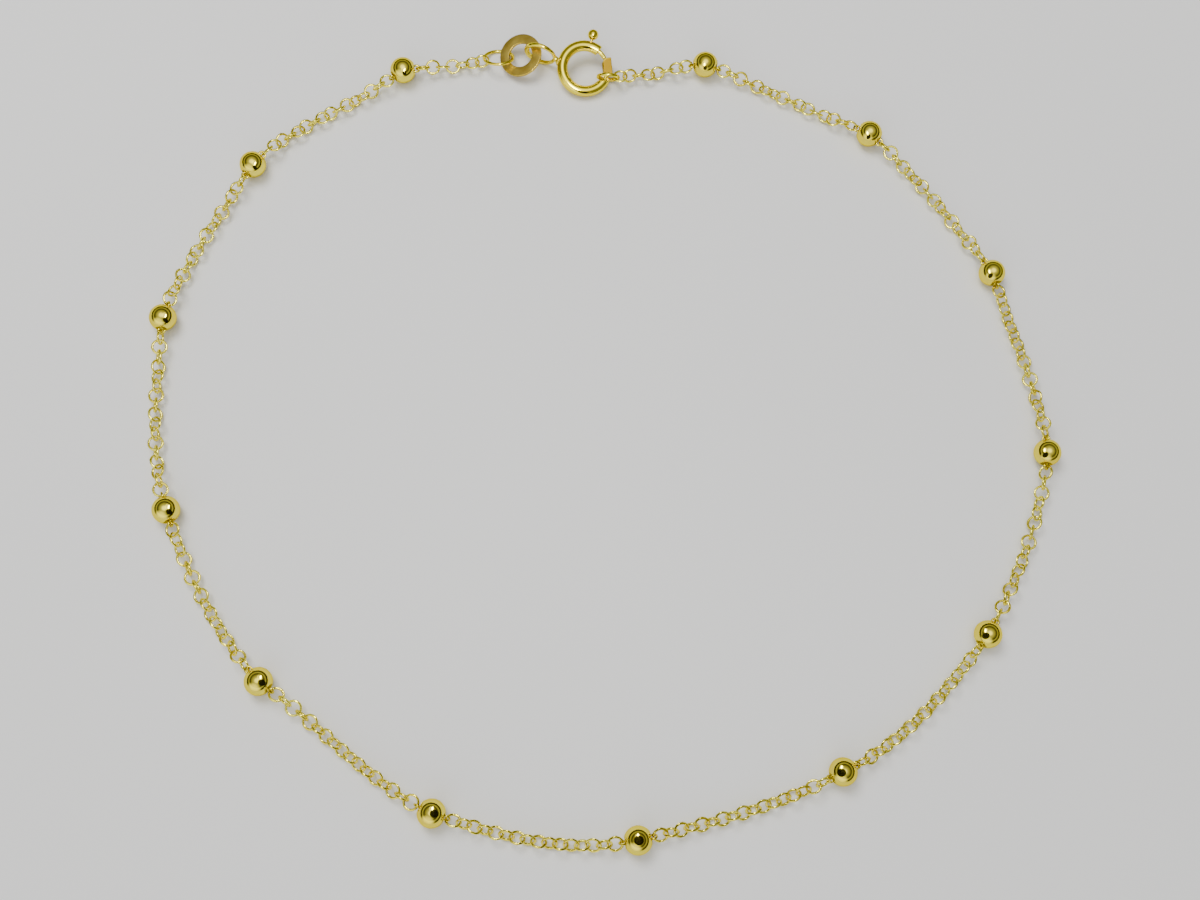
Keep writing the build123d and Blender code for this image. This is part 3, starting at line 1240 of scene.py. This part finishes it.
    def mouth(self) -> list[Skin]:
        """The open end: outer lip, flat face and inner lip, then the bore to its blind end.

        Returns:
            The end, the bore and its blind end.
        """
        ring = self.ring
        outer, inner = ring.outer, ring.inner
        cosine, sine = polar(spread(0, 90, self.lip_rows))
        radii = np.concatenate([outer - self.lip + self.lip * cosine, inner + self.lip / 2 * (1 - sine)])
        turn = np.concatenate([self.lip_angle * (1 - sine), self.lip_angle / 2 * (1 - cosine)])
        end = self.cap(radii, ring.tube_end + turn)
        angle = self.rows(float(ring.tube_end + turn[-1]), ring.bore_end, self.bore_rows)
        # painted shade that deepens into the bore, full at its blind end
        within = smooth_step((angle - ring.tube_end) / self.shade_over)
        bore = self.wall(angle, inner, within * self.bore_shade[1] + self.bore_shade[0])
        blind = self.cap(np.array([inner, 0.0]), np.full(2, ring.bore_end), 1.0)
        return [skin.flipped() for skin in (end, bore, blind)]

    def slant(self) -> list[Skin]:
        """The end at the neck, where rows turn from square to the slant of the gap, then close.

        Returns:
            The end, and the length that joins it to the evenly spaced rows.
        """
        ring, outer, lip_angle = self.ring, self.ring.outer, self.lip_angle
        count = self.slant_rows
        cosine, sine = polar(spread(0, 90, self.lip_rows)[1:])
        plain, rounded = np.full(count, outer), outer - self.lip + self.lip * cosine
        radii = np.concatenate([plain, rounded, [ring.neck / 2, 0.0]])
        back = np.concatenate([spread(self.fade, lip_angle, count), lip_angle * (1 - sine), [0.0, 0.0]])
        outward, above = across_ring(radii, self.columns, True)
        end, middle = (
            360 + ring.cut_angle(share * outward, share * above, ring.neck_gap / 2) % 360 - 360
            for share in (1, 0)
        )
        slant = smooth_step(1 - (back - lip_angle) / (self.fade - lip_angle))[:, None]
        angle = (end * slant + middle * (1 - slant)) % 360 - back[:, None]
        angle[0] = angle[0].mean()
        v = 360 * spread(0, 1, self.columns + 1)
        uv = together(np.radians(angle) * ring.radius, np.radians(v) * outer)
        face = Skin.grid(ring.bent(angle, outward, above), uv, SHEET)
        return [face, self.cap(plain, spread(self.plain_end, float(angle[0, 0]), count))]

    def neck(self) -> Skin:
        """The thin round bar across the gap, flared into the tube and the collar.

        Returns:
            The bar.
        """
        ring, zero, sides = self.ring, np.zeros(1), self.neck_sides
        first, last = (
            float(ring.cut_angle(zero, zero, side * ring.neck_gap / 2)[0] % 360) - 360 for side in (1, -1)
        )
        angle = spread(first - self.neck_sink, last + self.neck_sink, self.neck_rows)
        inside = np.minimum(angle - first, last - angle)
        radii = ring.neck / 2 + flare(inside + self.flare_start, self.neck_flare, self.flare_angle)
        bar = ring.bent(angle[:, None], *across_ring(radii, sides))
        near, far = (np.broadcast_to(row.mean(axis=0), (1, sides, 3)) for row in (bar[0], bar[-1]))
        uv = arcs(np.radians(angle) * ring.radius, sides, ring.neck / 2)
        points, uv = np.concatenate([near, bar, far]), np.concatenate([uv[:1], uv, uv[-1:]])
        return Skin.grid(points, uv, rub=self.neck_rub)

    def skin(self) -> Skin:
        """Work out the tube with its neck.

        Returns:
            The tube's skin.
        """
        angle = self.rows(self.ring.tube_end + self.lip_angle, self.plain_end, self.long_rows)
        body = self.wall(angle, self.ring.outer)
        return Skin.joined([body, *self.mouth(), *self.slot_sides(), *self.slant(), self.neck()])


@dataclass
class Collar(ClaspPart):
    """The squared block on the ring's other end, which the bolt shuts into."""

    angle: float = 14.0  # angle of the block's middle
    size: Triple = (0.84, 1.62, 0.95)  # outwards, along the ring and its height
    corner: float = 0.3  # cut on the corner of its bolt end that faces inwards
    edge: float = 0.04  # rounding of its edges
    edge_rows: int = 5  # rows on a rounded edge
    fold: float = 1.5  # rounding of the fold at the cut, in edge roundings
    least_corner: float = 0.125  # least rounding of its outline's corners, in edge roundings
    side_shares: tuple[float, ...] = (0.15, 0.5, 0.85)  # places of the satin rows up its sides
    end_rows: int = 8  # rows from the bolt end's edge to the hole's rim
    hole_shade: tuple[float, ...] = (0.4, 0.8, 0.9)  # painted shade down the hole, to the middle of its floor
    hole_from: float = 20.0  # angle from the block's middle to the middle of the bolt hole's mouth
    hole_angle: float = 29.5  # angle of the bolt hole's floor
    foot: float = 0.13  # thickness of the round foot next to the neck
    foot_rub: float = 0.6  # wear on the foot
    foot_rows: int = 4  # rows on its rounded rim
    foot_sides: int = 40  # points round it
    columns: int = 56  # even directions round the block, besides its corners
    corner_rays: int = 7  # directions near each corner
    corner_reach: float = 5.0  # angle on both sides of a corner that they cover
    outline_points: int = 48  # points on the corners of its outline
    outline_steps: int = 1500  # steps along the outline in which rays are looked up
    name: ClassVar[str] = "clasp_collar"
    finish: ClassVar[GoldFinish] = COLLAR_FINISH

    def axes(self) -> Axes:
        """Axes at the block's middle: x outwards, y along the ring towards the bolt."""
        axes, out = self.ring.axes, self.ring.spoke(self.angle)
        return Axes(axes.origin + self.ring.radius * out, out, np.cross(axes.z, out), axes.z)

    def end_height(self, x: Array) -> Array:
        """Height of the bolt end over the block's middle: level, then falling at the cut.

        The lower of the two heights, with the fold between them rounded by k h (1 - h).

        Args:
            x: Distances outwards from the block's middle.

        Returns:
            The heights.
        """
        level = self.size[1] / 2 + 0 * x
        cut = x + self.size[0] / 2 + self.size[1] / 2 - self.corner
        fold = self.edge * self.fold
        share = np.clip(0.5 + (cut - level) / (2 * fold), 0, 1)
        return cut * (1 - share) + level * share - fold * share * (1 - share)

    def outline(self, direction: Array, centre: float, inset: float) -> Array:
        """Where rays from the bolt hole's middle meet the block's rounded outline.

        A corner of the outline is a quarter circle about (+-(half - corner), +-(half - corner)).

        Args:
            direction: (columns,) directions of the rays, in degrees.
            centre: The hole's middle along the block's x.
            inset: How far the outline is drawn in.

        Returns:
            (columns, 2) points in the block's x and z.
        """
        corner = max(self.edge - inset, self.edge * self.least_corner)
        cosine, sine = polar((np.arange(self.outline_points) + 0.5) * 360 / self.outline_points)
        loop = together(*(
            (side / 2 - inset - corner) * np.sign(part) + corner * part
            for side, part in ((self.size[0], cosine), (self.size[2], sine))
        ))
        loop = np.concatenate([loop, loop[:1]])
        run = path_length(loop)
        even = spread(0, run[-1], self.outline_steps)
        x, z = (np.interp(even, run, loop[:, axis]) for axis in (0, 1))
        bearing = np.degrees(np.arctan2(z, x - centre))
        reach = np.interp(direction, bearing, np.hypot(x - centre, z), period=360)
        cosine, sine = polar(direction)
        return together(centre + reach * cosine, reach * sine)

    def block(self) -> Skin:
        """The block with its bolt hole.

        Rows of rays from the hole's middle run over the neck end, up the sides, over the bolt
        end and down the hole. Edges are quarter circles, and only they are polished.

        Returns:
            The block.
        """
        ring, axes = self.ring, self.axes()
        hole = float(axes.local(ring.bent(self.angle + self.hole_from))[0])
        half = np.array([self.size[0], self.size[2]]) / 2 - self.edge / 3  # to the rounded corners
        corner_x, corner_z = half[0] * np.array([1, -1, -1, 1]) - hole, half[1] * np.array([1, 1, -1, -1])
        corners = np.degrees(np.arctan2(corner_z, corner_x))
        off_corner = spread(-self.corner_reach, self.corner_reach, self.corner_rays)
        near_corner = (corners[:, None] + off_corner).ravel()
        direction = np.sort(np.concatenate([circle(self.columns) - 180, near_corner]))

        cosine, sine = polar(spread(0, 90, self.edge_rows))
        loops = np.stack([self.outline(direction, hole, inset) for inset in self.edge * (1 - cosine)])
        lift = (self.edge * (1 - sine))[:, None]
        x, z = loops[..., 0], loops[..., 1]
        bottom = -self.size[1] / 2
        near = together(x, bottom + lift, z)[::-1]
        far = together(x, self.end_height(x) - lift, z)
        share = np.array(self.side_shares)[:, None]
        side = near[-1].T
        side_end = self.end_height(side[0]) - self.edge
        sides = together(side[0], side[1] * (1 - share) + side_end * share, side[2])

        turn_x, turn_z = polar(direction)
        rim_x, rim_z = hole + ring.inner * turn_x, ring.inner * turn_z
        share = spread(0, 1, self.end_rows + 1)[1:, None]
        edge_x, edge_z = far[-1, :, 0], far[-1, :, 2]
        x, z = edge_x + (rim_x - edge_x) * share, edge_z + (rim_z - edge_z) * share
        end = together(x, self.end_height(x), z)
        floor = axes.local(ring.bent(self.hole_angle, ring.inner * turn_x, ring.inner * turn_z))
        middle = np.broadcast_to(axes.local(ring.bent(self.hole_angle)), floor.shape)
        start = np.broadcast_to([hole, bottom, 0.0], floor.shape)
        inside = np.stack([end[-1] * 0.5 + floor * 0.5, floor, middle])

        local = np.concatenate([start[None], near, sides, far, end, inside])
        rows = [1, len(near), len(sides), len(far), len(end) + len(inside)]
        shine = np.repeat([0.0, 1.0, 0.0, 1.0, 0.0], rows)
        at_corner = np.all(np.abs(local[..., [0, 2]]) > half - self.edge / 2, axis=-1)
        rub = np.maximum(shine[:, None], at_corner)
        # painted shade down the bolt hole
        deep = np.concatenate([np.zeros(len(local) - len(inside)), self.hole_shade])
        uv = together(local[..., 1], np.radians(direction) * half[0])
        return Skin.grid(axes.place(local), uv, rub=rub, deep=deep[:, None], matte=1.0 - rub)

    def foot_disc(self) -> Skin:
        """The round end of the collar beside the neck, a short slice of the tube.

        Rows of rings run from the middle of the face at the gap, over the rounded rim, to the
        middle of the hidden face.

        Returns:
            The disc.
        """
        ring = self.ring
        outer, lip = ring.outer, self.edge
        cosine, sine = polar(spread(0, 90, self.foot_rows))
        radii = np.concatenate([[0.0], outer - lip + lip * sine, outer - lip + lip * cosine, [0.0]])
        depth = np.concatenate([[0.0], lip * (1 - cosine), self.foot - lip * (1 - sine), [self.foot]])
        outward, above = across_ring(radii, self.foot_sides)
        angle = ring.cut_angle(outward, above, -ring.neck_gap / 2 - depth[:, None])
        return Skin.grid(ring.bent(angle, outward, above), together(outward, above), rub=self.foot_rub)

    def skin(self) -> Skin:
        """Join the block and its foot."""
        return Skin.joined([self.block(), self.foot_disc()])


@dataclass
class ClaspEye(ClaspPart):
    """The upright eye of heavy wire on the clasp, with the foot soldered to the tube."""

    # its middle, from the middle of the clasp's ring
    offset: Triple = (-4.53, 0.74, 0.38)
    heading: float = -10.0  # heading of the upright plane that it lies in
    radius: float = 1.44  # radius to the middle of its wire
    wire: float = 0.42  # wire diameter, on average
    sides: Sides = (96, 22)  # points round the eye, and round its wire
    taper: float = 0.16  # share by which the wire thins towards the foot
    foot_tip: float = 0.2  # radius of the foot where it leaves the eye
    foot_end: float = 0.4  # radius of the foot at the tube's wall
    wall_flare: float = 0.14  # length over which it swells at the tube
    eye_flare: float = 0.06  # how much it swells at the eye, and over what length
    foot_sides: int = 28  # points round the foot
    foot_rows: int = 30  # rows along it
    name: ClassVar[str] = "clasp_eye"

    def skin(self) -> Skin:
        """Work out the eye and its foot.

        The eye's plane stands on the table: its x runs along the heading and its y points up.
        The foot is a round bar that flares at the tube's wall and a little at the eye.

        Returns:
            The skin of both.
        """
        cosine, sine = polar(self.heading)
        along = np.array([cosine, sine, 0.0])
        axes = Axes(self.ring.axes.origin + np.array(self.offset), along, UP, np.cross(along, UP))
        eye = wire_rings([axes], self.radius, self.wire, self.sides, taper=self.taper)
        start = axes.place(self.radius * EAST)
        stop = self.ring.bent(180.0)
        length = float(np.linalg.norm(stop - start))
        s = spread(0, length, self.foot_rows)
        at_wall = flare(length - self.ring.outer - s, self.foot_end - self.foot_tip, self.wall_flare)
        radius = self.foot_tip + at_wall + flare(s - self.wire / 2, self.eye_flare, self.eye_flare)
        radius = np.concatenate([[0.0], radius, [0.0]])
        s = np.concatenate([s[:1], s, s[-1:]])
        bar = Axes.along(start, stop - start, UP).place(turned(radius, s, self.foot_sides))
        foot = Skin.grid(bar, arcs(s, self.foot_sides, self.foot_end))
        return Skin.joined([eye, foot.flipped()])


@dataclass
class Bolt(ClaspPart):
    """The sliding bolt with its stem and knob."""

    diameter: float = 0.42  # bolt diameter
    stem: float = 0.2  # stem diameter
    reach: float = 3.47  # distance of the knob's middle from the ring's
    knob: float = 1.05  # knob diameter
    dimple: float = 0.1  # radius of the small mark on top of the knob
    dimple_depth: float = 0.04  # its depth
    dimple_shade: Pair = (0.5, 0.9)  # painted shade at its rim and in its middle
    knob_flare: float = 0.08  # how much the stem swells at the knob
    bar_flare: float = 0.05  # how much it swells at the bar
    flare_over: float = 0.05  # length over which it does
    tail_share: float = 0.25  # length of the tail's rounding, as a share of the nose's
    tip_wear: float = 12.0  # angle over which the tip is worn
    nose_rows: int = 8  # rows on the nose, and on the tail
    bar_rows: int = 58  # even rows along the bar
    bar_sides: int = 24  # points round the bar
    stem_rows: int = 24  # rows along the stem
    knob_rows: int = 34  # rows on the knob
    dimple_rows: int = 5  # rows in the mark
    knob_sides: int = 40  # points round the stem and knob
    node: ClassVar[str] = "spring_bolt"
    name: ClassVar[str] = "bolt_with_knob"
    body: ClassVar[Body] = Body.BOLT

    def bar(self) -> Skin:
        """The bent bar: a quarter-round nose, an even length and a rounded tail.

        Returns:
            The bar.
        """
        ring, half = self.ring, self.diameter / 2
        nose = float(np.degrees(half / ring.radius))
        tail_run = nose * self.tail_share
        cosine, sine = polar(spread(0, 90, self.nose_rows))
        even = spread(ring.bolt_tip + nose, ring.bolt_tail - tail_run, self.bar_rows + 2)[1:-1]
        tail = ring.bolt_tail - tail_run * (1 - cosine[::-1])
        angle = np.concatenate([ring.bolt_tip + nose * (1 - cosine), even, tail])
        radii = np.concatenate([half * sine, np.full(len(even), half), half * (1 - (1 - sine[::-1]) ** 2)])
        points = ring.bent(angle[:, None], *across_ring(radii, self.bar_sides))
        uv = arcs(np.radians(angle) * ring.radius, self.bar_sides, half)
        rub = 0.5 + 0.5 * bump(angle, ring.bolt_tip, self.tip_wear)
        return Skin.grid(points, uv, rub=rub[:, None])

    def stem_and_knob(self) -> Skin:
        """The stem and knob, one profile turned about a spoke of the ring.

        The stem leaves the bar with a small flare, meets the ball of the knob in another, and the
        ball ends in a shallow round dimple.

        Returns:
            The turned skin.
        """
        ring = self.ring
        half, ball = self.stem / 2, self.knob / 2
        neck_end = self.reach - np.sqrt(ball**2 - half**2)
        run = spread(ring.radius, neck_end, self.stem_rows)
        at_bar = flare(run - ring.radius - self.diameter / 2, self.bar_flare, self.flare_over)
        swell = flare(neck_end - run, self.knob_flare, self.flare_over) + at_bar
        stem = together(half + swell, run)
        first = np.degrees(np.arcsin((half + self.knob_flare) / ball))
        last = 180 - np.degrees(np.arcsin(self.dimple / ball))
        cosine, sine = polar(spread(first, last, self.knob_rows))
        sphere = together(ball * sine, self.reach - ball * cosine)
        tip = self.reach + ball * np.cos(np.arcsin(self.dimple / ball))
        share = spread(0, 1, self.dimple_rows + 1)[1:]
        dimple = together(self.dimple * (1 - share), tip - self.dimple_depth * smooth_step(share))
        profile = np.concatenate([[[0.0, ring.radius]], stem, sphere, dimple])
        axes = Axes.along(ring.axes.origin, ring.spoke(ring.knob_angle), ring.axes.z)
        points = axes.place(turned(profile[:, 0], profile[:, 1], self.knob_sides))
        uv = arcs(path_length(profile), self.knob_sides, ball)
        # painted shade in the dimple, darker towards its middle
        shade_tone = spread(*self.dimple_shade, len(dimple))
        deep = np.concatenate([np.zeros(len(profile) - len(dimple)), shade_tone])
        return Skin.grid(points, uv, deep=deep[:, None]).flipped()

    def skin(self) -> Skin:
        """Join the bar, the stem and the knob."""
        return Skin.joined([self.bar(), self.stem_and_knob()])


# ---- Table, light and camera ----


@dataclass(frozen=True)
class Lamp:
    """A flat lamp with a round or oval face."""

    name: str  # its name
    place: Triple  # its middle, in millimetres
    size: Pair  # its face's width and length, in millimetres
    glow: float  # radiance
    metal: bool  # whether it shows in polished metal
    table: bool  # whether it lights the table

    def hang(self) -> None:
        """Hang it facing the anklet, where the camera doesn't see it."""
        data = bpy.data.lights.new(self.name, "AREA")
        data.shape = "ELLIPSE"
        data.size, data.size_y = (side * MM for side in self.size)
        data.energy = self.glow * np.pi * np.pi * data.size * data.size_y / 4
        place = np.array(self.place)
        hung = Axes.along(place, place, EAST).carry(self.name, data)
        hung.visible_camera = False
        hung.visible_diffuse = self.table
        hung.visible_glossy = self.metal


@dataclass
class Studio:
    """A plain pale table in soft light, and the camera over it."""

    elevation: float = 73.36  # camera's height over the table, in degrees
    roll: float = 7.77  # turn of the camera about its line of sight
    target: Triple = (0.41, -3.6, 1.25)  # point that the camera looks at
    distance: float = 132.613  # camera's distance from it
    focal_length: float = 43.47  # focal length of its lens
    sensor: float = 36.0  # width of the camera's sensor
    clip: Pair = (0.002, 20.0)  # nearest and furthest that it sees, in metres
    table: float = 2500.0  # half width of the table, in millimetres
    table_rows: int = 41  # points along each side of the table's mesh
    # linear colours between which the table's tone drifts
    board_tones: tuple[tuple, tuple] = ((0.83, 0.825, 0.81, 1.0), (0.86, 0.855, 0.84, 1.0))
    cloud_scale: float = 14.0  # clouds in its tone per metre
    board_rough: float = 0.75  # roughness of the board
    # the lamps
    lamps: tuple[Lamp, ...] = (
        Lamp("glint_lamp", (-3.0, 5.0, 53.0), (13.0, 34.0), 30.0, True, False),
        Lamp("halo_lamp", (-8.0, 6.0, 60.0), (50.0, 62.0), 1.0, True, False),
        Lamp("table_lamp", (-160.0, 150.0, 420.0), (260.0, 260.0), 9.5, False, True),
    )
    # middle of the dark lens hood that the polished metal mirrors
    hood_place: Triple = (9.5, -38.0, 54.0)
    hood_radii: Triple = (26.0, 24.0, 42.0)  # its half sizes along x, y and z
    hood_grid: Sides = (21, 40)  # points from its foot to its top, and round it
    felt: Colour = (0.012, 0.012, 0.012)  # linear colour of its felt
    # the tent's glow, at shares of its height, which runs from floor to top
    tent_greys: tuple[Pair, ...] = (
        (0.0, 0.01), (0.2, 0.015), (0.34, 0.24), (0.42, 0.24), (0.52, 0.03),
        (0.61, 0.04), (0.74, 0.17), (0.9, 0.32), (1.0, 1.2),
    )
    tent_strength: float = 2.0  # factor on all of it
    # direction that the tent is brightest in
    bright_side: Triple = (-0.27, -0.92, 0.28)
    wash: float = 0.8  # glow that it has there on top of the rest
    wash_from: float = 0.6  # cosine from that direction at which the wash starts
    backdrop: Colour = (0.32, 0.32, 0.315)  # linear colour that the camera sees behind the table

    def camera(self) -> None:
        """Set the camera on its line of sight, turned by the roll."""
        flat, height = polar(self.elevation)
        towards, upright = np.array([0.0, -flat, height]), np.array([0.0, height, flat])
        cosine, sine = polar(self.roll)
        right, up = cosine * EAST + sine * upright, cosine * upright - sine * EAST
        data = bpy.data.cameras.new("camera")
        data.lens, data.sensor_width = self.focal_length, self.sensor
        data.clip_start, data.clip_end = self.clip
        place = np.array(self.target) + self.distance * towards
        bpy.context.scene.camera = Axes(place, right, up, towards).carry("camera", data)

    def board(self) -> bpy.types.Material:
        """Pale matte board with the faintest cloud in its tone.

        Returns:
            The material.
        """
        material = bpy.data.materials.new("pale_board")
        nodes = Nodes(material)
        cloud = nodes.noise(nodes.add("ShaderNodeTexCoord").outputs["Object"], self.cloud_scale, SOFT)
        tone = nodes.mix(nodes.ranged(cloud, NOISE_SPAN, (0.0, 1.0)), *self.board_tones)
        feeds = {"Base Color": tone, "Roughness": self.board_rough}
        nodes.output(nodes.add("ShaderNodeBsdfPrincipled", feeds))
        return material

    def ground(self) -> None:
        """Lay the table top."""
        rows = spread(-1, 1, self.table_rows) * self.table
        points = together(rows[:, None], rows, 0.0)
        table = Skin.grid(points, points[..., :2], SHEET).prop("table_top", self.board())

    def hood(self) -> None:
        """Hang the dark round lens hood, an ellipsoid that only the polished metal sees."""
        material = bpy.data.materials.new("black_felt")
        nodes = Nodes(material)
        nodes.output(nodes.add("ShaderNodeBsdfDiffuse", {"Color": (*self.felt, 1.0)}))
        rows, columns = self.hood_grid
        ball = turned(*polar(spread(-90, 90, rows)), columns)
        points = np.array(self.hood_place) + ball * np.array(self.hood_radii)
        hood = Skin.grid(points, points[..., :2]).prop("lens_hood", material)
        hood.visible_camera = hood.visible_diffuse = hood.visible_shadow = False

    def tent(self) -> None:
        """Light everything from a soft tent, bright overhead and on one side."""
        world = bpy.data.worlds.new("tent")
        bpy.context.scene.world = world
        nodes = Nodes(world)
        place = nodes.add("ShaderNodeTexCoord").outputs["Generated"]
        height = nodes.add("ShaderNodeSeparateXYZ", {0: place}).outputs[2]
        feeds = {0: place, 1: tuple(unit(np.array(self.bright_side)))}
        nearness = nodes.add("ShaderNodeVectorMath", feeds, operation="DOT_PRODUCT").outputs["Value"]
        wash = nodes.ramp(nearness, ((self.wash_from, 0.0), (1.0, self.wash)))
        both = nodes.mix(1.0, nodes.ramp(height, self.tent_greys), wash, blend_type="ADD")
        seen = nodes.add("ShaderNodeLightPath").outputs["Is Camera Ray"]
        colour = nodes.mix(seen, both, (*self.backdrop, 1.0))
        tent = nodes.add("ShaderNodeBackground", {"Color": colour, "Strength": self.tent_strength})
        nodes.output(tent, "ShaderNodeOutputWorld")

    def build(self) -> None:
        """Set the table, the lamps, the tent and the camera."""
        self.ground()
        self.tent()
        self.hood()
        for lamp in self.lamps:
            lamp.hang()
        self.camera()
        log.info("studio: %d lamps, camera %.0f mm away", len(self.lamps), self.distance)


def main() -> None:
    """Build the anklet, its studio and its camera."""
    logging.basicConfig(level=logging.INFO, format="%(name)s %(message)s")
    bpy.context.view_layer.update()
    halves = [Chain("chain_left", "left_links", seed=11), Chain("chain_right", "right_links", seed=23)]
    for half in halves:
        half.build()
    make_balls(halves, BALL_COUNT)
    JumpRing("end_ring", "left_jump_ring", 200.0).build()
    JumpRing("catch_ring", "neck_jump_ring", 75.0).build()
    FlatRing().build()
    ring = ClaspRing()
    for part in (ClaspTube(ring), Collar(ring), ClaspEye(ring), Bolt(ring)):
        part.build()
    Studio().build()


if __name__ == "__main__":
    main()
